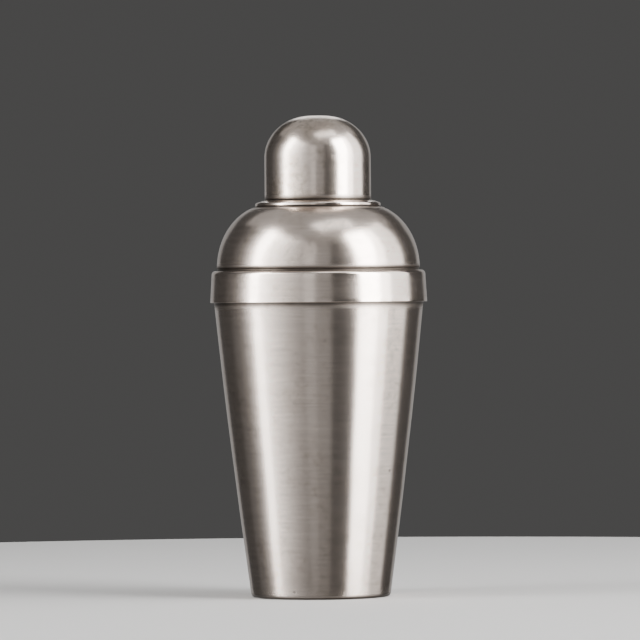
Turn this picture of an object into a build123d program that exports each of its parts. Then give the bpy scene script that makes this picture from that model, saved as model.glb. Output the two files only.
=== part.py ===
from build123d import *

import os
from math import cos, sin, sqrt, tau

# A three-piece cocktail shaker: a tapered tumbler, a domed lid with a strainer in its neck,
# and a domed cap that covers the neck and serves as the measure.
# Millimetres, +Z up. The origin is the centre of the foot, on the surface that it stands on.
# Every piece is turned about Z, so each is drawn as a half section, x outwards and y up.

# Tumbler: a spun cup with a straight land at its mouth and a foot turned in underneath.
FOOT_R = 30.4
MOUTH_R = 45.6
TUMBLER_H = 141.1
LAND_H = 13.5
TUMBLER_WALL = 1.0
BELLY = 0.5
FOOT_CORNER = 1.8
FOOT_FLANGE = 5.0
LIP_ROUND = 0.35

# Base: a flat disc let in on top of the turned-in foot.
BASE_T = 0.9
BASE_EDGE_GAP = 0.5
BASE_EDGE_ROUND = 0.25

# Lid shell: an elliptical shoulder above a rolled groove, and a sleeve that plugs the mouth.
# The crown inset is how far inside the cap's side the shoulder turns level.
LID_WALL = 0.9
SLEEVE_GAP = 0.3
SLEEVE_DEPTH = 12.5
SHOULDER_RISE = 28.0
CROWN_INSET = 2.0
GROOVE_R = 0.7
GROOVE_BITE = 0.4
SLEEVE_ROUND = 0.3

# Collar: the band round the lid's foot, flared at its mouth, that slides over the tumbler's land.
COLLAR_WALL = 0.8
COLLAR_GAP = 0.2
COLLAR_FLARE = 0.8
COLLAR_DEPTH = 12.6
COLLAR_ROUND = 1.6
COLLAR_TOP_T = 0.9
COLLAR_EDGE_ROUND = 0.25
REST_GAP = 0.1

# Cap: a spun measure with an elliptical crown, and a bezel soldered inside its mouth.
CAP_R = 23.2
CAP_SIDE = 18.6
CAP_RISE = 18.3
CAP_FLAT_R = 3.2
CAP_WALL = 0.8
CAP_RIM_ROUND = 0.6
BEZEL_T = 0.6
BEZEL_H = 7.0
BEZEL_SETBACK = 0.5
BEZEL_ROUND = 0.2
CAP_FIT = 0.15

# Neck: a tube let through the shoulder, with a moulded ring round its foot that the cap rests on.
NECK_WALL = 0.9
NECK_H = 17.5
NECK_BELOW_CROWN = 6.0
NECK_ROUND = 0.35
RING_OVERHANG = 4.2
RING_SEAT_LAND = 0.6
RING_H = 1.65
RING_DROP = 1.1
RING_EDGE_ROUND = 0.8
RING_FOOT_ROUND = 0.4

# Strainer: a pierced plate with a turned-down rim, soldered in the bottom of the neck.
STRAINER_T = 0.8
STRAINER_RIM_H = 3.6
STRAINER_CORNER = 0.5
HOLE_R = 1.2
HOLE_PITCH = 4.3
HOLE_MARGIN = 1.4

# Sizes and places that follow from the ones above.
land_z = TUMBLER_H - LAND_H
mouth_bore_r = MOUTH_R - TUMBLER_WALL
lid_r = mouth_bore_r - SLEEVE_GAP
sleeve_z = TUMBLER_H - SLEEVE_DEPTH
collar_bore_r = MOUTH_R + COLLAR_GAP
collar_seat_z = TUMBLER_H + REST_GAP
collar_top_z = collar_seat_z + COLLAR_TOP_T
collar_mouth_z = collar_seat_z - COLLAR_DEPTH
groove_z = collar_top_z + sqrt(GROOVE_R**2 - (GROOVE_R - GROOVE_BITE) ** 2)
spring_z = 2 * groove_z - collar_top_z
crown_z = spring_z + SHOULDER_RISE
shoulder_run = lid_r - (CAP_R - CROWN_INSET)
neck_r = CAP_R - CAP_WALL - BEZEL_T - CAP_FIT
neck_bore_r = neck_r - NECK_WALL
seat_z = crown_z + RING_H
cap_rim_z = seat_z + REST_GAP
cap_spring_z = cap_rim_z + CAP_SIDE
neck_top_z = seat_z + NECK_H
neck_foot_z = crown_z - NECK_BELOW_CROWN
strainer_z = neck_foot_z + STRAINER_RIM_H


def box_section(r_in, r_out, z_low, z_high):
    """A rectangle of the half section."""
    return Pos((r_in + r_out) / 2, (z_low + z_high) / 2) * Rectangle(r_out - r_in, z_high - z_low)


def region(*edges):
    """The face inside a closed run of edges."""
    return make_face(Curve() + list(edges))


def rounded(section, radius, *corners):
    """The section with the corners nearest to these points rounded."""
    for x, y in corners:
        near = min(section.vertices(), key=lambda v: (v.X - x) ** 2 + (v.Y - y) ** 2)
        section = fillet(near, radius)
    return section


def turned(section):
    """The solid that a half section sweeps about Z."""
    return revolve(Plane.XZ * section, Axis.Z)


def crowned(r, z_low, z_spring, run, rise):
    """A filled half section with a straight side and an elliptical shoulder up to a level top."""
    flat_r = r - run
    crown = z_spring + rise
    return region(
        Line((0, z_low), (r, z_low)),
        Line((r, z_low), (r, z_spring)),
        EllipticalCenterArc((flat_r, z_spring), run, rise, arc_size=90),
        Line((flat_r, crown), (0, crown)),
        Line((0, crown), (0, z_low)),
    )


def tumbler_form():
    """The tumbler's filled outside: a slightly swelling taper and the land above it."""
    slant = sqrt((MOUTH_R - FOOT_R) ** 2 + land_z**2)
    middle = (
        (FOOT_R + MOUTH_R) / 2 + BELLY * land_z / slant,
        land_z / 2 - BELLY * (MOUTH_R - FOOT_R) / slant,
    )
    return region(
        Line((0, 0), (FOOT_R, 0)),
        ThreePointArc((FOOT_R, 0), middle, (MOUTH_R, land_z)),
        Line((MOUTH_R, land_z), (MOUTH_R, TUMBLER_H)),
        Line((MOUTH_R, TUMBLER_H), (0, TUMBLER_H)),
        Line((0, TUMBLER_H), (0, 0)),
    )


def tumbler_wall():
    outside = tumbler_form()
    above_foot = box_section(0, MOUTH_R, TUMBLER_WALL, TUMBLER_H)
    cavity = (Pos(-TUMBLER_WALL, 0) * outside) & above_foot
    recess = box_section(0, FOOT_R - FOOT_FLANGE, 0, TUMBLER_WALL)
    section = outside - cavity - recess
    section = rounded(section, FOOT_CORNER, (FOOT_R, 0))
    section = rounded(section, FOOT_CORNER - TUMBLER_WALL, (FOOT_R - TUMBLER_WALL, TUMBLER_WALL))
    section = rounded(section, LIP_ROUND, (MOUTH_R, TUMBLER_H), (mouth_bore_r, TUMBLER_H))
    return turned(section)


def tumbler_base():
    edge_r = FOOT_R - FOOT_CORNER - BASE_EDGE_GAP
    section = box_section(0, edge_r, TUMBLER_WALL, TUMBLER_WALL + BASE_T)
    return turned(rounded(section, BASE_EDGE_ROUND, (edge_r, TUMBLER_WALL + BASE_T)))


def lid_form():
    """The lid's filled outside, before its groove is rolled."""
    return crowned(lid_r, sleeve_z, spring_z, shoulder_run, SHOULDER_RISE)


def lid_shell():
    groove_at = Pos(lid_r + GROOVE_R - GROOVE_BITE, groove_z)
    outside = lid_form() - groove_at * Circle(GROOVE_R)
    inside = crowned(
        lid_r - LID_WALL,
        sleeve_z,
        spring_z,
        shoulder_run - LID_WALL,
        SHOULDER_RISE - LID_WALL,
    )
    inside -= groove_at * Circle(GROOVE_R + LID_WALL)
    neck_hole = box_section(0, neck_r, sleeve_z, crown_z)
    section = outside - inside - neck_hole
    return turned(rounded(section, SLEEVE_ROUND, (lid_r, sleeve_z), (lid_r - LID_WALL, sleeve_z)))


def collar_band():
    mouth_bore = collar_bore_r + COLLAR_FLARE
    top_r = collar_bore_r + COLLAR_WALL
    section = region(
        Polyline(
            (lid_r, collar_top_z),
            (top_r, collar_top_z),
            (mouth_bore + COLLAR_WALL, collar_mouth_z),
            (mouth_bore, collar_mouth_z),
            (collar_bore_r, collar_seat_z),
            (lid_r, collar_seat_z),
            (lid_r, collar_top_z),
        )
    )
    section = rounded(section, COLLAR_ROUND, (top_r, collar_top_z))
    edge = COLLAR_EDGE_ROUND
    section = rounded(section, edge, (mouth_bore + COLLAR_WALL, collar_mouth_z))
    section = rounded(section, edge, (mouth_bore, collar_mouth_z), (lid_r, collar_top_z))
    return turned(section)


def neck_tube():
    section = box_section(neck_bore_r, neck_r, neck_foot_z, neck_top_z)
    return turned(rounded(section, NECK_ROUND, (neck_r, neck_top_z), (neck_bore_r, neck_top_z)))


def neck_ring():
    edge_r = CAP_R + RING_OVERHANG
    edge_top_z = seat_z - RING_DROP
    below = spring_z
    blank = region(
        Polyline(
            (neck_r, below),
            (edge_r, below),
            (edge_r, edge_top_z),
            (CAP_R + RING_SEAT_LAND, seat_z),
            (neck_r, seat_z),
            (neck_r, below),
        )
    )
    section = blank - lid_form()
    rest_z = min(v.Y for v in section.vertices() if v.X > CAP_R)
    edge_h = edge_top_z - rest_z
    section = rounded(section, min(RING_FOOT_ROUND, 0.3 * edge_h), (edge_r, rest_z))
    section = rounded(section, min(RING_EDGE_ROUND, 0.5 * edge_h), (edge_r, edge_top_z))
    return turned(section)


def strainer_plate():
    """A tray with its rim down, pierced with one hole in the middle and rings of six, twelve and on."""
    section = box_section(0, neck_bore_r, neck_foot_z, strainer_z + STRAINER_T)
    section -= box_section(0, neck_bore_r - STRAINER_T, neck_foot_z, strainer_z)
    plate = turned(rounded(section, STRAINER_CORNER, (neck_bore_r, strainer_z + STRAINER_T)))
    pierced_r = neck_bore_r - STRAINER_T - HOLE_MARGIN - HOLE_R
    holes = [(0, 0)]
    for ring in range(1, int(pierced_r / HOLE_PITCH) + 1):
        count = 6 * ring
        turns = [tau * i / count for i in range(count)]
        holes += [(ring * HOLE_PITCH * cos(a), ring * HOLE_PITCH * sin(a)) for a in turns]
    punch = Cylinder(HOLE_R, 3 * STRAINER_T)
    return plate - [Pos(x, y, strainer_z + STRAINER_T / 2) * punch for x, y in holes]


def cap_shell():
    run = CAP_R - CAP_FLAT_R
    outside = crowned(CAP_R, cap_rim_z, cap_spring_z, run, CAP_RISE)
    bore_r = CAP_R - CAP_WALL
    inside = crowned(bore_r, cap_rim_z, cap_spring_z, run - CAP_WALL, CAP_RISE - CAP_WALL)
    return turned(rounded(outside - inside, CAP_RIM_ROUND, (CAP_R, cap_rim_z)))


def cap_bezel():
    outer_r = CAP_R - CAP_WALL
    inner_r = outer_r - BEZEL_T
    low = cap_rim_z + BEZEL_SETBACK
    section = box_section(inner_r, outer_r, low, low + BEZEL_H)
    return turned(rounded(section, BEZEL_ROUND, (inner_r, low), (inner_r, low + BEZEL_H)))


PIECES = {
    "tumbler_wall": tumbler_wall,
    "tumbler_base": tumbler_base,
    "lid_shell": lid_shell,
    "collar_band": collar_band,
    "neck_tube": neck_tube,
    "neck_ring": neck_ring,
    "strainer_plate": strainer_plate,
    "cap_shell": cap_shell,
    "cap_bezel": cap_bezel,
}

os.makedirs("parts", exist_ok=True)
for name, make in PIECES.items():
    export_step(make(), f"parts/{name}.step")
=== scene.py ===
from math import atan2, cos, degrees, hypot, pi, radians, sin, sqrt, tan

import bmesh
import bpy
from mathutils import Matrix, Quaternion, Vector


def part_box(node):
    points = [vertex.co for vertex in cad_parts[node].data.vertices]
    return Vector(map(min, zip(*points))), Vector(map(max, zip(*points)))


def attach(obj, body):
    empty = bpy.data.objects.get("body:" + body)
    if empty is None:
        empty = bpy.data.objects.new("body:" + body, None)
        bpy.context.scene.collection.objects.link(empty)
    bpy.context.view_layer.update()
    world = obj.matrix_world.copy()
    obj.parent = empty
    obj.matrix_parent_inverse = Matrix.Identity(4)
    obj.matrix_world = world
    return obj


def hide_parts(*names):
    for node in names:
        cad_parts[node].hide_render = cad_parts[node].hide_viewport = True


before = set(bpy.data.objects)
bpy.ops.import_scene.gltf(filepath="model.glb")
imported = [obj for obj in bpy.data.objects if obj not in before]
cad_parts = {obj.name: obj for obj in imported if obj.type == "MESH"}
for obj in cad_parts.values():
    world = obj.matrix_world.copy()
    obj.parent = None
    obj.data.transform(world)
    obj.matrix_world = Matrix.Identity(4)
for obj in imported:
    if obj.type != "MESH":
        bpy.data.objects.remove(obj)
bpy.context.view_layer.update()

# ---------------------------------------------------------------------------------------------
# Tumbler wall. A cup spun from one sheet: a slightly swelling taper, a straight land at the mouth
# and a foot turned in underneath. Silver plate, brushed round on the lathe, dulled with age.
# ---------------------------------------------------------------------------------------------
MM = 0.001
AROUND = 288  # faces round every turned piece
ARC_STEP = 11  # degrees
WAVE_SCALE, WAVE_DETAIL = 18.0, 1.5
STILL_POLE = 0.5 * MM  # inside this radius nothing waves, so poles stay closed
SWAY_FROM = 0.35  # the noise that a level's sway starts from
SWAY_REACH = 4 * MM
WELD = 0.002 * MM


def rounded(corners):
    """The points of an outline. A corner is (r, z, radius), and is an arc if radius is above 0."""
    out = []
    count = len(corners)
    for i, (r, z, radius) in enumerate(corners):
        here = Vector((r, z))
        if radius <= 0:
            out.append((r, z, 0.0))
            continue
        before = Vector(corners[i - 1][:2]) - here
        after = Vector(corners[(i + 1) % count][:2]) - here
        before.normalize()
        after.normalize()
        half = before.angle(after) / 2
        centre = here + (before + after).normalized() * (radius / sin(half))
        start = here + before * (radius / tan(half)) - centre
        end = here + after * (radius / tan(half)) - centre
        sweep = start.angle_signed(end)
        steps = max(4, int(abs(degrees(sweep)) / ARC_STEP))
        for k in range(steps + 1):
            turn = -sweep * k / steps
            r = centre.x + start.x * cos(turn) - start.y * sin(turn)
            z = centre.y + start.x * sin(turn) + start.y * cos(turn)
            out.append((r, z, 1.0))
    return out


def divided(points, step, closed=True):
    """The same outline with its long runs cut into equal spans no longer than step."""
    out = []
    ring = points + points[:1] if closed else points
    for (r0, z0, e0), (r1, z1, e1) in zip(ring, ring[1:]):
        spans = max(1, int(hypot(r1 - r0, z1 - z0) / step + 0.999))
        for k in range(spans):
            t = k / spans
            edge = max(e0 * (1 - 4 * t), e1 * (4 * t - 3), 0.0) if spans > 1 else e0
            out.append((r0 + (r1 - r0) * t, z0 + (z1 - z0) * t, edge))
    out.append(ring[-1])
    return out


def wiring(tree):
    """Short ways to fill a node tree: node adds one, put sets or links a socket, math adds a sum."""

    def put(socket, value):
        if hasattr(value, "is_linked"):
            tree.links.new(value, socket)
        else:
            socket.default_value = value

    def node(kind, inputs=(), **settings):
        made = tree.nodes.new(kind)
        for key, value in settings.items():
            setattr(made, key, value)
        for key, value in dict(inputs).items():
            put(made.inputs[key], value)
        return made

    def math(operation, a, b=0.0, clamp=False):
        return node("ShaderNodeMath", {0: a, 1: b}, operation=operation, use_clamp=clamp).outputs[0]

    return node, put, math


def new_group(name, result, inputs):
    """A Geometry Nodes group with named inputs, given as (name, kind of socket), and one result."""
    tree = bpy.data.node_groups.new(name, "GeometryNodeTree")
    for key, kind in inputs:
        tree.interface.new_socket(key, in_out="INPUT", socket_type="NodeSocket" + kind)
    tree.interface.new_socket(result, in_out="OUTPUT", socket_type="NodeSocketGeometry")
    return tree


def add_nodes(piece, tree, values):
    """Puts a Geometry Nodes modifier on a piece and sets its inputs, which are given by name."""
    modifier = piece.modifiers.new(tree.name, "NODES")
    modifier.node_group = tree
    for item in tree.interface.items_tree:
        if item.in_out == "INPUT" and item.name in values:
            modifier[item.identifier] = values[item.name]


def turning_tree():
    """Geometry Nodes that turn an outline about Z, with the slight unevenness of hand spinning."""
    tree = new_group(
        "turned_about_z",
        "Piece",
        (
            ("Outline", "Geometry"),
            ("Around", "Int"),
            ("Wave Height", "Float"),
            ("Wave Scale", "Float"),
            ("Sway", "Float"),
            ("Sway Level", "Float"),
            ("Sway Reach", "Float"),
            ("Seed", "Float"),
            ("Finish", "Material"),
        ),
    )
    node, put, math = wiring(tree)
    given = node("NodeGroupInput").outputs
    rows = node("GeometryNodeAttributeDomainSize", {0: given["Outline"]}).outputs["Point Count"]
    columns = math("ADD", given["Around"], 1)
    grid = node("GeometryNodeMeshGrid", {"Vertices X": columns, "Vertices Y": rows})
    index = node("GeometryNodeInputIndex").outputs[0]
    row = math("MODULO", index, rows)
    column = math("FLOOR", math("DIVIDE", index, rows))
    turn = math("MULTIPLY", math("DIVIDE", column, given["Around"]), 2 * pi)
    across, along = math("COSINE", turn), math("SINE", turn)

    def sampled(kind, source):
        sample = node(
            "GeometryNodeSampleIndex",
            {"Geometry": given["Outline"], "Index": row},
            data_type=kind,
            domain="POINT",
        )
        put(sample.inputs["Value"], source)
        return sample.outputs[0]

    def turned_place(radius, height):
        x, y = math("MULTIPLY", radius, across), math("MULTIPLY", radius, along)
        return node("ShaderNodeCombineXYZ", {"X": x, "Y": y, "Z": height}).outputs[0]

    outline_place = sampled("FLOAT_VECTOR", node("GeometryNodeInputPosition").outputs[0])
    place = node("ShaderNodeSeparateXYZ", {0: outline_place})
    radius, height = place.outputs["X"], place.outputs["Z"]

    noise = node(
        "ShaderNodeTexNoise",
        {"Vector": turned_place(radius, height), "Scale": given["Wave Scale"], "Detail": WAVE_DETAIL},
        noise_dimensions="4D",
    )
    put(noise.inputs["W"], given["Seed"])
    swell = math("MULTIPLY", math("SUBTRACT", noise.outputs[0], 0.5), given["Wave Height"])
    off_axis = math("GREATER_THAN", radius, STILL_POLE)
    wavy = math("ADD", radius, math("MULTIPLY", swell, off_axis))
    away = math("ABSOLUTE", math("SUBTRACT", height, given["Sway Level"]))
    near = math("MAXIMUM", math("SUBTRACT", 1, math("DIVIDE", away, given["Sway Reach"])), 0)
    lift = math("MAXIMUM", math("SUBTRACT", noise.outputs[0], SWAY_FROM), 0)
    lift = math("MULTIPLY", math("MULTIPLY", lift, near), given["Sway"])

    spun = turned_place(wavy, math("ADD", height, lift))
    moved = {"Geometry": grid.outputs["Mesh"], "Position": spun}
    last = node("GeometryNodeSetPosition", moved).outputs[0]
    for key in ("along", "edge", "crevice"):
        source = node("GeometryNodeInputNamedAttribute", {"Name": key}, data_type="FLOAT")
        store = node(
            "GeometryNodeStoreNamedAttribute",
            {"Geometry": last, "Name": key},
            data_type="FLOAT",
            domain="POINT",
        )
        put(store.inputs["Value"], sampled("FLOAT", source.outputs[0]))
        last = store.outputs[0]
    last = node("GeometryNodeMergeByDistance", {0: last, "Distance": WELD}).outputs[0]
    last = node("GeometryNodeSetShadeSmooth", {0: last}).outputs[0]
    last = node("GeometryNodeRealizeInstances", {0: last}).outputs[0]
    last = node("GeometryNodeSetMaterial", {0: last, "Material": given["Finish"]}).outputs[0]
    node("NodeGroupOutput", {0: last})
    return tree


TURNED = turning_tree()
SPAN = 2.5 * MM  # the longest straight span of an outline


def turned(name, outline, material, crevices=(), wave=0.12 * MM, seed=0, sway=(0, 0), closed=True):
    """A piece turned from an outline. A crevice is (r, z, reach): dirt and painted shade gather within
    its reach.
    The sway is how far the sheet wanders up and down at a level, and that level."""
    points = divided(outline, SPAN, closed)
    base = bpy.data.meshes.new(name + "_outline")
    spans = [(i, i + 1) for i in range(len(points) - 1)]
    base.from_pydata([(r, 0, z) for r, z, _ in points], spans, [])
    along, walked = [], 0.0
    for i, (r, z, _) in enumerate(points):
        if i:
            walked += hypot(r - points[i - 1][0], z - points[i - 1][1])
        along.append(walked)
    # How much dirt and painted shade each point gets: most at a crevice, none beyond its reach.
    grime_and_shade = [
        max([max(0.0, 1 - hypot(r - cr, z - cz) / reach) for cr, cz, reach in crevices] or [0.0])
        for r, z, _ in points
    ]
    for key, values in (("along", along), ("edge", [e for _, _, e in points]), ("crevice", grime_and_shade)):
        base.attributes.new(key, "FLOAT", "POINT").data.foreach_set("value", values)
    made = bpy.data.objects.new(name, base)
    bpy.context.scene.collection.objects.link(made)
    values = {
        "Around": AROUND,
        "Wave Height": wave,
        "Wave Scale": WAVE_SCALE,
        "Sway": float(sway[0]),
        "Sway Level": float(sway[1]),
        "Sway Reach": SWAY_REACH,
        "Seed": float(seed),
        "Finish": material,
    }
    add_nodes(made, TURNED, values)
    plain(made)
    return made


def plain(made):
    """Turns a piece with its modifiers into a plain mesh whose faces point outwards."""
    graph = bpy.context.evaluated_depsgraph_get()
    mesh = bpy.data.meshes.new_from_object(
        made.evaluated_get(graph), preserve_all_data_layers=True, depsgraph=graph
    )
    made.modifiers.clear()
    made.data = mesh
    work = bmesh.new()
    work.from_mesh(mesh)
    bmesh.ops.recalc_face_normals(work, faces=work.faces)
    work.to_mesh(mesh)
    work.free()
    mesh.name = made.name


def brushed_metal(name, clean, aged, rough=0.21, age=0.5, pits=1.0, lines=0.45):
    """Aged metal brushed round Z: lathe lines, clouds and freckles of tarnish, dirt with painted shade
    in the crevices, small pits and worn edges. Faces that look at the axis are plainer and duller."""
    material = bpy.data.materials.new(name)
    material.use_nodes = True
    material.node_tree.nodes.clear()
    node, put, math = wiring(material.node_tree)

    def plus(first, *swings):
        """The first value with each swing of a noise about its middle added at its own strength."""
        total = first
        for value, strength in swings:
            total = math("ADD", total, math("MULTIPLY", math("SUBTRACT", value, 0.5), strength))
        return total

    def spread(value, low, high, to_low=0.0, to_high=1.0):
        made = node("ShaderNodeMapRange", interpolation_type="SMOOTHSTEP")
        for socket, given in zip(made.inputs, (value, low, high, to_low, to_high)):
            put(socket, given)
        return made.outputs[0]

    def blend(fraction, a, b):
        return node("ShaderNodeMix", {"Factor": fraction, 6: a, 7: b}, data_type="RGBA").outputs[2]

    def noise(vector, scale, detail=2.0, roughness=0.5, distortion=0.0):
        texture = {
            "Vector": vector,
            "Scale": scale,
            "Detail": detail,
            "Roughness": roughness,
            "Distortion": distortion,
        }
        return node("ShaderNodeTexNoise", texture).outputs[0]

    def attribute(key):
        return node("ShaderNodeAttribute", attribute_name=key).outputs["Fac"]

    place = node("ShaderNodeTexCoord").outputs["Object"]
    flat = node("ShaderNodeVectorMath", {0: place, 1: (1, 1, 0)}, operation="MULTIPLY")
    outward = node("ShaderNodeVectorMath", {0: flat.outputs[0]}, operation="NORMALIZE").outputs[0]
    split = node("ShaderNodeSeparateXYZ", {0: outward})
    along, edge, crevice = attribute("along"), attribute("edge"), attribute("crevice")

    def rings(length, pitch, detail=2.0):
        """Noise drawn out round the piece: length is in radii, pitch in metres."""
        x, y = (math("DIVIDE", split.outputs[axis], length) for axis in "XY")
        drawn_out = node("ShaderNodeCombineXYZ", {"X": x, "Y": y, "Z": math("DIVIDE", along, pitch)})
        return noise(drawn_out.outputs[0], 1.0, detail)

    # The marks: lathe lines of three pitches, tarnish in clouds, freckles where it blooms.
    fine = rings(0.30, 0.42 * MM, 3.0)
    middle = rings(0.55, 1.5 * MM)
    broad = rings(0.9, 7 * MM, 1.0)
    cloud = noise(place, CLOUDS, 5.0, 0.62, 0.4)
    bloom = noise(place, BLOOMS, 4.0, 0.6, 0.2)
    tarnish = spread(plus(cloud, (bloom, 0.5)), 0.40, 0.66)
    freckle = spread(noise(place, FRECKLES, 3.0, 0.55, 0.3), 0.44, 0.72)
    freckle = math("MULTIPLY", freckle, spread(plus(bloom, (cloud, 0.8)), 0.40, 0.60))

    # A round pit in the middle of some cells.
    cells = node("ShaderNodeTexVoronoi", {"Vector": place, "Scale": PIT_CELLS})
    chance = node("ShaderNodeSeparateColor", {0: cells.outputs["Color"]}).outputs["Red"]
    chosen = math("GREATER_THAN", chance, 1 - PITTED_SHARE)
    spot = spread(plus(cells.outputs["Distance"], (bloom, 0.06)), 0.03, 0.08, 1.0, 0.0)
    spot = math("MULTIPLY", math("MULTIPLY", spot, chosen), pits, True)

    # Colour, from the clean metal out to what lies on it, with painted shade darkening the crevices.
    colour = blend(math("MULTIPLY", tarnish, age, True), clean, aged)
    colour = blend(math("MULTIPLY", freckle, 0.85 * age, True), colour, TARNISH)
    shade = plus(1.0, (fine, 0.50 * lines), (middle, 0.34 * lines), (broad, 0.16 * lines))
    shade = math("MULTIPLY", shade, spread(edge, 0.2, 1.0, 1.0, 1.06))
    tinted = node("ShaderNodeVectorMath", {0: colour, "Scale": shade}, operation="SCALE").outputs[0]
    # Dirt and painted shade: near a crevice the colour is darkened towards a near black, standing in
    # for the shade in creases, under rims and at the foot.
    grime_and_shade = math("MULTIPLY", spread(crevice, 0.0, 0.8), plus(0.94, (cloud, 0.4)), True)
    dirty_and_shaded = blend(grime_and_shade, tinted, GRIME_AND_SHADE)
    pitted = blend(math("MULTIPLY", spot, 0.7), dirty_and_shaded, PIT)
    normal = node("ShaderNodeNewGeometry").outputs["Normal"]
    facing = node("ShaderNodeVectorMath", {0: normal, 1: outward}, operation="DOT_PRODUCT")
    inward = spread(facing.outputs["Value"], -0.05, -0.25)
    finished = blend(inward, pitted, BARE_INSIDE)

    # Roughness: dirt and pits are duller, worn edges are brighter.
    gloss = plus(rough, (fine, 0.08 * lines), (middle, 0.07 * lines))
    gloss = math("ADD", gloss, math("MULTIPLY", tarnish, 0.03 * age))
    gloss = math("ADD", gloss, math("MULTIPLY", freckle, 0.02 * age))
    gloss = math("ADD", gloss, math("MULTIPLY", grime_and_shade, 0.3))
    gloss = math("SUBTRACT", gloss, math("MULTIPLY", spread(edge, 0.2, 1.0), 0.05))
    gloss = math("ADD", gloss, math("MULTIPLY", inward, 0.12))
    gloss = math("ADD", gloss, math("MULTIPLY", spot, 0.25), True)

    relief = math("ADD", math("MULTIPLY", fine, 0.5), math("MULTIPLY", middle, 0.5))
    relief = math("SUBTRACT", relief, math("MULTIPLY", spot, 3.0))
    bump = node("ShaderNodeBump", {"Strength": 0.5, "Distance": RELIEF, "Height": relief})

    shader = node(
        "ShaderNodeBsdfPrincipled",
        {"Base Color": finished, "Roughness": gloss, "Normal": bump.outputs[0]},
    )
    shader.inputs["Metallic"].default_value = 1.0
    shader.inputs["Anisotropic"].default_value = 0.45
    shader.inputs["Anisotropic Rotation"].default_value = 0.25
    tangent = node("ShaderNodeTangent", direction_type="RADIAL", axis="Z")
    put(shader.inputs["Tangent"], tangent.outputs[0])
    node("ShaderNodeOutputMaterial", {"Surface": shader.outputs[0]})
    return material


TARNISH = (0.36, 0.31, 0.25, 1)
# the near black of crevice dirt and painted shade
GRIME_AND_SHADE = (0.036, 0.029, 0.023, 1)
PIT = (0.045, 0.036, 0.030, 1)
BARE_INSIDE = (0.60, 0.59, 0.575, 1)  # inner faces aren't plated
CLOUDS, BLOOMS, FRECKLES = 22.0, 75.0, 330.0  # marks in a metre, from the largest down
PIT_CELLS = 95.0  # cells in a metre, each with a pit or none
PITTED_SHARE = 0.20
RELIEF = 0.03 * MM
PLATED = (0.705, 0.612, 0.546, 1)
PLATE = brushed_metal("brushed_plate", PLATED, (0.54, 0.443, 0.373, 1), age=0.34)

SPUN = 0.55 * MM
wall_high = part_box("tumbler_wall")[1]
base_low, base_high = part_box("tumbler_base")
SHEET = 1.0 * MM
FOOT_CORNER = 1.8 * MM
FOOT_FLANGE = 5.0 * MM
BASE_INSET = 0.5 * MM
LAND = 13.5 * MM
BELLY = 0.5 * MM
LIP = 0.35 * MM
mouth_r = wall_high[0]
mouth_z = wall_high[2]
foot_r = base_high[0] + FOOT_CORNER + BASE_INSET
land_z = mouth_z - LAND


def taper(inset, low):
    """Points up the tumbler's swelling taper, from the level low to the foot of its land."""
    out = []
    steps = 40
    for k in range(steps + 1):
        t = k / steps
        z = low + (land_z - low) * t
        s = z / land_z
        out.append((foot_r + (mouth_r - foot_r) * s + 4 * BELLY * s * (1 - s) - inset, z, 0.0))
    return out


outside = taper(0, FOOT_CORNER * 1.1)
inside = taper(SHEET, SHEET + FOOT_CORNER)
lip = [
    (mouth_r, mouth_z, LIP),
    (mouth_r - SHEET, mouth_z, LIP),
]
flange_r = foot_r - FOOT_FLANGE
under = [
    (foot_r - SHEET, SHEET, FOOT_CORNER - SHEET),
    (flange_r, SHEET, 0.2 * MM),
    (flange_r, 0, 0.2 * MM),
    (foot_r, 0, FOOT_CORNER),
]
wall_outline = rounded(outside + lip + inside[::-1] + under)
tumbler_wall = turned(
    "tumbler_wall_spun",
    wall_outline,
    PLATE,
    # Painted shade under the collar's mouth and inside the foot's flange, and a painted contact shadow
    # round the foot's corner, with some dirt.
    crevices=[
        (mouth_r + 0.5 * MM, land_z + 1.5 * MM, 4 * MM),
        (flange_r, SHEET, 1.2 * MM),
        (foot_r, 0, 2.2 * MM),
    ],
    wave=SPUN,
    seed=7,
)
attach(tumbler_wall, "tumbler")
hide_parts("tumbler_wall")

# ---------------------------------------------------------------------------------------------
# Tumbler base. A flat disc of bare satin metal, faced on the lathe, let in on the turned-in foot
# and soldered round its edge. It is the floor of the tumbler.
# ---------------------------------------------------------------------------------------------
SATIN = brushed_metal(
    "satin_steel", (0.60, 0.585, 0.57, 1), (0.47, 0.44, 0.41, 1), rough=0.34, age=0.7, pits=0.6
)

base_outline = rounded(
    [
        (0, base_high[2], 0),
        (0, base_low[2], 0),
        (base_high[0], base_low[2], 0.1 * MM),
        (base_high[0], base_high[2], 0.25 * MM),
    ]
)
tumbler_base = turned(
    "tumbler_base_disc",
    base_outline,
    SATIN,
    # Painted shade, with dirt, in the corners where the disc meets the wall and the foot.
    crevices=[(base_high[0], base_high[2], 2 * MM), (flange_r, base_low[2], 1.5 * MM)],
    wave=0,
    seed=4,
)
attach(tumbler_base, "tumbler")
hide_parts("tumbler_base")

# ---------------------------------------------------------------------------------------------
# Lid shell. A shoulder spun from plated sheet, with a rolled groove at its foot; below the groove
# the same sheet goes on down as the sleeve that plugs the tumbler's mouth.
# ---------------------------------------------------------------------------------------------
lid_low, lid_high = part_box("lid_shell")
band_low, band_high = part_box("collar_band")
ring_low, ring_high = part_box("neck_ring")
tube_low, tube_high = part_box("neck_tube")
LID_SHEET = 0.9 * MM
CROWN_INSET = 2.0 * MM
GROOVE_R = 0.7 * MM
GROOVE_BITE = 0.4 * MM
lid_r = lid_high[0]
crown_z = lid_high[2]
neck_r = tube_high[0]
groove_half = sqrt(GROOVE_R**2 - (GROOVE_R - GROOVE_BITE) ** 2)
spring_z = band_high[2] + 2 * groove_half
cap_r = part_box("cap_shell")[1][0]
flat_r = cap_r - CROWN_INSET
run = lid_r - flat_r
rise = crown_z - spring_z


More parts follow.
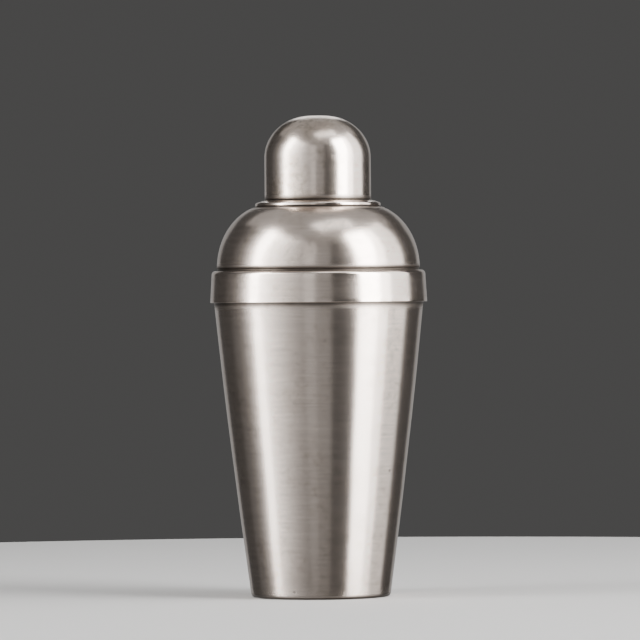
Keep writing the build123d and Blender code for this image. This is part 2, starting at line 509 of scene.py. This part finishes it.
def dome(flat_r, spring, run, rise, steps=36):
    """Points up an elliptical shoulder, from its straight side to its level top."""
    return [
        (flat_r + run * cos(pi / 2 * k / steps), spring + rise * sin(pi / 2 * k / steps), 0.0)
        for k in range(steps + 1)
    ]


def groove(inset, radius, up=True):
    """Points round the rolled groove, seen from outside (inset 0) or inside the sheet."""
    centre_r = lid_r + GROOVE_R - GROOVE_BITE
    centre_z = band_high[2] + groove_half
    reach = centre_r - (lid_r - inset)
    half = sqrt(max(radius**2 - reach**2, 0))
    spread_angle = atan2(half, reach)
    steps = 8
    out = []
    for k in range(steps + 1):
        a = -spread_angle + 2 * spread_angle * k / steps
        out.append((centre_r - radius * cos(a), centre_z + radius * sin(a), 0.0))
    return out if up else out[::-1]


def above_neck(points):
    """The shoulder's points outside the neck, ending on the neck's own radius."""
    kept = [p for p in points if p[0] > neck_r + 0.2 * MM]
    nearest = [p for p in points if p[0] <= neck_r + 0.2 * MM][0]
    t = (kept[-1][0] - neck_r) / (kept[-1][0] - nearest[0])
    return kept + [(neck_r, kept[-1][1] + (nearest[1] - kept[-1][1]) * t, 0.0)]


shoulder = above_neck(dome(flat_r, spring_z, run, rise))
under_shoulder = above_neck(dome(flat_r, spring_z, run - LID_SHEET, rise - LID_SHEET))
inner_r = lid_r - LID_SHEET
lid_outline = rounded(
    [(lid_r, lid_low[2], 0.3 * MM)]
    + groove(0, GROOVE_R)
    + shoulder[1:]
    + under_shoulder[::-1][:-1]
    + groove(LID_SHEET, GROOVE_R + LID_SHEET, up=False)
    + [(inner_r, lid_low[2], 0.3 * MM)]
)
SWAY = 2.0 * MM
groove_z = band_high[2] + groove_half
lid_shell = turned(
    "lid_shell_spun",
    lid_outline,
    PLATE,
    # Painted shade in the rolled groove, and a painted shadow on the shoulder under the neck ring.
    crevices=[(lid_r - 0.2 * MM, groove_z, 2.4 * MM), (ring_high[0], ring_low[2], 3.2 * MM)],
    wave=SPUN,
    seed=7,
    sway=(SWAY, groove_z),
)
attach(lid_shell, "lid")
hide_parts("lid_shell")

# ---------------------------------------------------------------------------------------------
# Collar band. A flared band of plated sheet, soldered under the lid's groove. It slides over the
# tumbler's land, and its top edge follows the sway of the groove.
# ---------------------------------------------------------------------------------------------
COLLAR_SHEET = 0.8 * MM
COLLAR_FLARE = 0.8 * MM
COLLAR_ROUND = 1.6 * MM
COLLAR_TOP = 0.9 * MM
band_mouth_r = band_high[0] - COLLAR_SHEET
band_bore_r = band_mouth_r - COLLAR_FLARE
collar_outline = rounded(
    [
        (lid_r, band_high[2], 0.25 * MM),
        (lid_r, band_high[2] - COLLAR_TOP, 0),
        (band_bore_r, band_high[2] - COLLAR_TOP, 0.15 * MM),
        (band_mouth_r, band_low[2], 0.25 * MM),
        (band_high[0], band_low[2], 0.25 * MM),
        (band_bore_r + COLLAR_SHEET, band_high[2], COLLAR_ROUND),
    ]
)
collar_band = turned(
    "collar_band_flared",
    collar_outline,
    PLATE,
    # Painted shade along the band's top, under the groove.
    crevices=[(lid_r, band_high[2], 1.0 * MM)],
    wave=SPUN,
    seed=7,
    sway=(SWAY, groove_z),
)
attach(collar_band, "lid")
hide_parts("collar_band")

# ---------------------------------------------------------------------------------------------
# Neck tube and neck ring. A drawn tube of satin metal let through the crown of the lid, and the
# plated, moulded ring soldered round its foot, on which the cap rests.
# ---------------------------------------------------------------------------------------------
NECK_SHEET = 0.9 * MM
neck_bore = neck_r - NECK_SHEET
tube_outline = rounded(
    [
        (neck_r, tube_low[2], 0),
        (neck_r, tube_high[2], 0.35 * MM),
        (neck_bore, tube_high[2], 0.35 * MM),
        (neck_bore, tube_low[2], 0),
    ]
)
neck_tube = turned(
    "neck_tube_drawn",
    tube_outline,
    SATIN,
    # Painted shade on the tube where it stands out of the ring, under the cap.
    crevices=[(neck_r, ring_high[2], 1.5 * MM)],
    wave=0,
    seed=23,
)
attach(neck_tube, "lid")
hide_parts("neck_tube")

RING_DROP = 1.1 * MM
RING_SEAT = 0.6 * MM
ring_r = ring_high[0]
under_ring = [p for p in dome(flat_r, spring_z, run, rise, 160) if neck_r < p[0] < ring_r]
ring_outline = rounded(
    [
        (neck_r, ring_high[2], 0),
        (cap_r + RING_SEAT, ring_high[2], 0.15 * MM),
        (ring_r, ring_high[2] - RING_DROP, 0.8 * MM),
        (ring_r, ring_low[2], 0.4 * MM),
    ]
    + [(r, z, 0) for r, z, _ in under_ring[3::6]]
    + [(neck_r, crown_z - 0.1 * MM, 0)]
)
neck_ring = turned(
    "neck_ring_moulded",
    ring_outline,
    PLATE,
    # Painted shade on the ring round the seat of the cap.
    crevices=[(cap_r, ring_high[2], 1.0 * MM)],
    wave=0.10 * MM,
    seed=29,
)
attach(neck_ring, "lid")
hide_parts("neck_ring")

# ---------------------------------------------------------------------------------------------
# Strainer. A pressed tray of satin metal, with its rim turned down and soldered in the bottom of
# the neck. It is pierced with one hole in the middle and rings of six, twelve and on round it.
# ---------------------------------------------------------------------------------------------
tray_low, tray_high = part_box("strainer_plate")
TRAY_SHEET = 0.8 * MM
TRAY_CORNER = 0.5 * MM
HOLE_R = 1.2 * MM
HOLE_PITCH = 4.3 * MM
HOLE_RINGS = 4
HOLE_SIDES = 28
tray_r = tray_high[0]
disc_r = tray_r - TRAY_SHEET


def piercing_tree():
    """Geometry Nodes that close a turned rim with a flat disc, pierced with rings of holes."""
    tree = new_group(
        "pierced_disc",
        "Tray",
        (
            ("Rim", "Geometry"),
            ("Disc Radius", "Float"),
            ("Top", "Float"),
            ("Thickness", "Float"),
            ("Hole Radius", "Float"),
            ("Hole Pitch", "Float"),
            ("Hole Rings", "Int"),
            ("Around", "Int"),
            ("Finish", "Material"),
        ),
    )
    node, put, math = wiring(tree)
    given = node("NodeGroupInput").outputs

    # The hole of each index: its ring, the first index of that ring, and its turn round it.
    index = node("GeometryNodeInputIndex").outputs[0]
    root = math("SQRT", math("ADD", 1.0, math("MULTIPLY", index, 4 / 3)))
    ring = math("CEIL", math("SUBTRACT", math("DIVIDE", math("SUBTRACT", root, 1.0), 2.0), 0.001))
    before = math("MULTIPLY", math("MULTIPLY", ring, math("SUBTRACT", ring, 1.0)), 3.0)
    first = math("ADD", before, 1.0)
    turn = math("DIVIDE", math("SUBTRACT", index, first), math("MULTIPLY", ring, 6.0))
    turn = math("MULTIPLY", turn, 2 * pi)
    reach = math("MULTIPLY", ring, given["Hole Pitch"])
    x = math("MULTIPLY", reach, math("COSINE", turn))
    y = math("MULTIPLY", reach, math("SINE", turn))
    centre = node("ShaderNodeCombineXYZ", {"X": x, "Y": y})
    rings = given["Hole Rings"]
    count = math("MULTIPLY", math("MULTIPLY", rings, math("ADD", rings, 1.0)), 3.0)
    count = math("ADD", count, 1.0)
    points = node("GeometryNodePoints", {"Count": count, "Position": centre.outputs[0]})

    def circle(sides, radius):
        size = {"Resolution": sides, "Radius": radius}
        return node("GeometryNodeCurvePrimitiveCircle", size).outputs[0]

    hole = circle(HOLE_SIDES, given["Hole Radius"])
    holes = node("GeometryNodeInstanceOnPoints", {"Points": points.outputs[0], "Instance": hole})
    outline = node("GeometryNodeJoinGeometry")
    put(outline.inputs[0], node("GeometryNodeRealizeInstances", {0: holes.outputs[0]}).outputs[0])
    put(outline.inputs[0], circle(given["Around"], given["Disc Radius"]))
    disc = node("GeometryNodeFillCurve", {0: outline.outputs[0]})
    level = node("ShaderNodeCombineXYZ", {"Z": math("SUBTRACT", given["Top"], given["Thickness"])})
    lower = node("GeometryNodeSetPosition", {"Geometry": disc.outputs[0], "Offset": level.outputs[0]})
    # The disc is raised along its own normal, which is up.
    drawn = node(
        "GeometryNodeExtrudeMesh",
        {"Mesh": lower.outputs[0], "Offset Scale": given["Thickness"], "Individual": False},
    )
    place = node("GeometryNodeInputPosition").outputs[0]
    flat = node("ShaderNodeVectorMath", {0: place, 1: (1, 1, 0)}, operation="MULTIPLY").outputs[0]
    radius = node("ShaderNodeVectorMath", {0: flat}, operation="LENGTH").outputs["Value"]
    outer = math("GREATER_THAN", radius, math("MULTIPLY", given["Disc Radius"], 0.999))
    outer_wall = node("FunctionNodeBooleanMath", {0: drawn.outputs["Side"], 1: outer}, operation="AND")
    walls = node(
        "GeometryNodeDeleteGeometry",
        {"Geometry": drawn.outputs["Mesh"], "Selection": outer_wall.outputs[0]},
        domain="FACE",
    )
    plate = node("GeometryNodeJoinGeometry")
    put(plate.inputs[0], lower.outputs[0])
    put(plate.inputs[0], walls.outputs[0])
    flat_shaded = {"Geometry": plate.outputs[0], "Shade Smooth": False}
    last = node("GeometryNodeSetShadeSmooth", flat_shaded).outputs[0]
    for key, value in (
        ("along", math("SUBTRACT", radius, given["Disc Radius"])),
        ("edge", 0.0),
        ("crevice", 0.0),
    ):
        named = {"Geometry": last, "Name": key}
        store = node("GeometryNodeStoreNamedAttribute", named, data_type="FLOAT")
        put(store.inputs["Value"], value)
        last = store.outputs[0]
    tray = node("GeometryNodeJoinGeometry")
    put(tray.inputs[0], given["Rim"])
    put(tray.inputs[0], last)
    welded = {0: tray.outputs[0], "Distance": 2 * WELD}
    last = node("GeometryNodeMergeByDistance", welded).outputs[0]
    last = node("GeometryNodeRealizeInstances", {0: last}).outputs[0]
    last = node("GeometryNodeSetMaterial", {0: last, "Material": given["Finish"]}).outputs[0]
    node("NodeGroupOutput", {0: last})
    return tree


rim_outline = rounded(
    [
        (disc_r, tray_high[2], 0),
        (tray_r, tray_high[2], TRAY_CORNER),
        (tray_r, tray_low[2], 0.1 * MM),
        (disc_r, tray_low[2], 0.1 * MM),
        (disc_r, tray_high[2] - TRAY_SHEET, 0),
    ]
)
strainer = turned("strainer_tray_pierced", rim_outline, SATIN, wave=0, seed=37, closed=False)
pierced = {
    "Disc Radius": disc_r,
    "Top": tray_high[2],
    "Thickness": TRAY_SHEET,
    "Hole Radius": HOLE_R,
    "Hole Pitch": HOLE_PITCH,
    "Hole Rings": HOLE_RINGS,
    "Around": AROUND,
    "Finish": SATIN,
}
add_nodes(strainer, piercing_tree(), pierced)
plain(strainer)
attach(strainer, "lid")
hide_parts("strainer_plate")

# ---------------------------------------------------------------------------------------------
# Cap shell. Spun from one plated sheet, straight below and domed above, with its rim turned
# smooth. It is also the measure, and handled the most, so its plate is the most mottled.
# ---------------------------------------------------------------------------------------------
cap_low, cap_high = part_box("cap_shell")
CAP_SHEET = 0.8 * MM
CAP_RISE = 18.3 * MM
CAP_FLAT = 3.2 * MM
CAP_RIM = 0.6 * MM
cap_spring = cap_high[2] - CAP_RISE
HANDLED = brushed_metal("brushed_plate_handled", PLATED, (0.52, 0.43, 0.36, 1), age=0.75)

cap_outside = dome(CAP_FLAT, cap_spring, cap_r - CAP_FLAT, CAP_RISE)
cap_inside = dome(CAP_FLAT, cap_spring, cap_r - CAP_FLAT - CAP_SHEET, CAP_RISE - CAP_SHEET)
cap_outline = rounded(
    cap_outside
    + [(0, cap_high[2], 0), (0, cap_high[2] - CAP_SHEET, 0)]
    + cap_inside[::-1]
    + [(cap_r - CAP_SHEET, cap_low[2], 0.1 * MM), (cap_r, cap_low[2], CAP_RIM)]
)
cap_shell = turned(
    "cap_shell_spun",
    cap_outline,
    HANDLED,
    # Painted shade along the cap's lower edge, above the ring.
    crevices=[(cap_r, cap_low[2] - 0.4 * MM, 3.2 * MM)],
    wave=0.32 * MM,
    seed=11,
)
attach(cap_shell, "cap")
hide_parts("cap_shell")

# ---------------------------------------------------------------------------------------------
# Cap bezel. A short sleeve of satin metal, drawn to size and soldered inside the cap's mouth.
# It grips the neck.
# ---------------------------------------------------------------------------------------------
bezel_low, bezel_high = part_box("cap_bezel")
BEZEL_SHEET = 0.6 * MM
bezel_outline = rounded(
    [
        (bezel_high[0], bezel_low[2], 0),
        (bezel_high[0], bezel_high[2], 0),
        (bezel_high[0] - BEZEL_SHEET, bezel_high[2], 0.2 * MM),
        (bezel_high[0] - BEZEL_SHEET, bezel_low[2], 0.2 * MM),
    ]
)
cap_bezel = turned("cap_bezel_sleeve", bezel_outline, SATIN, wave=0, seed=31)
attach(cap_bezel, "cap")
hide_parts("cap_bezel")

# ---------------------------------------------------------------------------------------------
# Studio: a pale table top, soft boxes, the camera, and a dim surround that turns pale far below
# the table. The metal mirrors the boxes and the surround, and not the table.
# ---------------------------------------------------------------------------------------------
TABLE_R = 0.56
bpy.ops.mesh.primitive_circle_add(vertices=128, radius=TABLE_R, fill_type="NGON", location=(0, 0, 0))
floor = bpy.context.object
floor.name = "floor"
table_top = bpy.data.materials.new("pale_floor")
table_top.use_nodes = True
painted = table_top.node_tree.nodes["Principled BSDF"].inputs
painted["Base Color"].default_value = (0.42, 0.415, 0.41, 1)
painted["Roughness"].default_value = 0.8
floor.data.materials.append(table_top)
floor.visible_glossy = False

DIM = (0.072, 0.071, 0.070, 1)
PALE = (0.64, 0.63, 0.62, 1)
PALE_FROM, PALE_BY = -24, -40  # degrees below the horizon
world = bpy.data.worlds.new("studio")
world.use_nodes = True
node, put, math = wiring(world.node_tree)
direction = node("ShaderNodeTexCoord").outputs["Generated"]
drop = node(
    "ShaderNodeMapRange",
    {
        "Value": node("ShaderNodeSeparateXYZ", {0: direction}).outputs["Z"],
        "From Min": sin(radians(PALE_FROM)),
        "From Max": sin(radians(PALE_BY)),
    },
    interpolation_type="SMOOTHSTEP",
)
surround = node("ShaderNodeMix", {"Factor": drop.outputs[0], 6: DIM, 7: PALE}, data_type="RGBA")
put(world.node_tree.nodes["Background"].inputs["Color"], surround.outputs[2])
bpy.context.scene.world = world

STAGE_CENTRE = Vector((0, 0, 0.12))
BOX_REACH = 1.2


def softbox(name, bearing, elevation, wide, high, radiance):
    """A soft box facing the object. Bearing 0 is at the camera and grows to the right."""
    a, e = radians(bearing), radians(elevation)
    data = bpy.data.lights.new(name, "AREA")
    data.shape = "RECTANGLE"
    data.size = 2 * BOX_REACH * tan(radians(wide / 2))
    data.size_y = 2 * BOX_REACH * tan(radians(high / 2))
    data.energy = radiance * pi * data.size * data.size_y
    lamp = bpy.data.objects.new(name, data)
    bpy.context.scene.collection.objects.link(lamp)
    away = Vector((sin(a) * cos(e), -cos(a) * cos(e), sin(e)))
    lamp.location = STAGE_CENTRE + away * BOX_REACH
    lamp.rotation_euler = away.to_track_quat("Z", "Y").to_euler()
    lamp.visible_camera = False


DEEP, LOW, LEVEL = -46, -21, -7  # the elevations where a column's three boxes meet
DEEP_SHARE = 0.3


def column(name, start, end, high, below, above):
    """Boxes over each other between two bearings, up to an elevation: the taper mirrors the dimmer
    ones, which have the radiance below, and the upright sides mirror the one above."""
    bearing, wide = (start + end) / 2, end - start
    middle = (DEEP + LOW) / 2
    deep_wide = wide * cos(radians(middle))
    softbox(name + "_deep", bearing, middle, deep_wide, LOW - DEEP, DEEP_SHARE * below)
    softbox(name + "_low", bearing, (LOW + LEVEL) / 2, wide, LEVEL - LOW, below)
    softbox(name, bearing, (LEVEL + high) / 2, wide, high - LEVEL, above)


def ramp(name, start, end, steps, shape):
    """Columns side by side between two bearings. shape gives their last three values, at 0 to 1."""
    wide = (end - start) / steps
    for k in range(steps):
        column(f"{name}_{k}", start + wide * k, start + wide * (k + 1), *shape((k + 0.5) / steps))


# Each line: bearings, the top's elevation, and the radiance below and above.
ramp("left_rise", -114, -78, 6, lambda t: (50, 0.05 * 30 ** (t**1.7), 0.05 * 120 ** (t**1.7)))
column("left_key", -78, -66, 50, 5.6, 14.0)
ramp("left_fade", -66, -15, 9, lambda t: (50 - 9 * t, 3.0 * 0.085**t, 8.0 * 0.060**t))
column("front_strip", -15, -4, 38, 0.42, 0.85)
column("front_edge", -4, 14, 42, 0.27, 0.30)
column("right_key", 44.5, 68, 50, 8.5, 20.0)
column("right_glow", 68, 82, 50, 4.0, 7.5)
column("right_wing", 82, 112, 50, 1.1, 2.7)
# Each line: bearing, elevation, how wide and high, and the radiance.
softbox("top_box", 38, 70, 34, 18, 2.2)
softbox("ceiling", 0, 90, 92, 92, 0.38)
softbox("back_panel", 180, 30, 16, 20, 2.4)
softbox("back_low", 180, -6, 62, 56, 0.30)

EYE = Vector((0.0, -2.35, 0.1335))
AIM = Vector((0.0005, 0.0, 0.12077))
TILT = -0.48  # degrees
camera_data = bpy.data.cameras.new("camera")
camera_data.sensor_width = 36
camera_data.lens = 302.4
camera = bpy.data.objects.new("camera", camera_data)
bpy.context.scene.collection.objects.link(camera)
camera.location = EYE
look = (AIM - EYE).to_track_quat("-Z", "Y")
camera.rotation_mode = "QUATERNION"
camera.rotation_quaternion = look @ Quaternion((0, 0, 1), radians(TILT))
camera_data.clip_start, camera_data.clip_end = 0.05, 50
bpy.context.scene.camera = camera
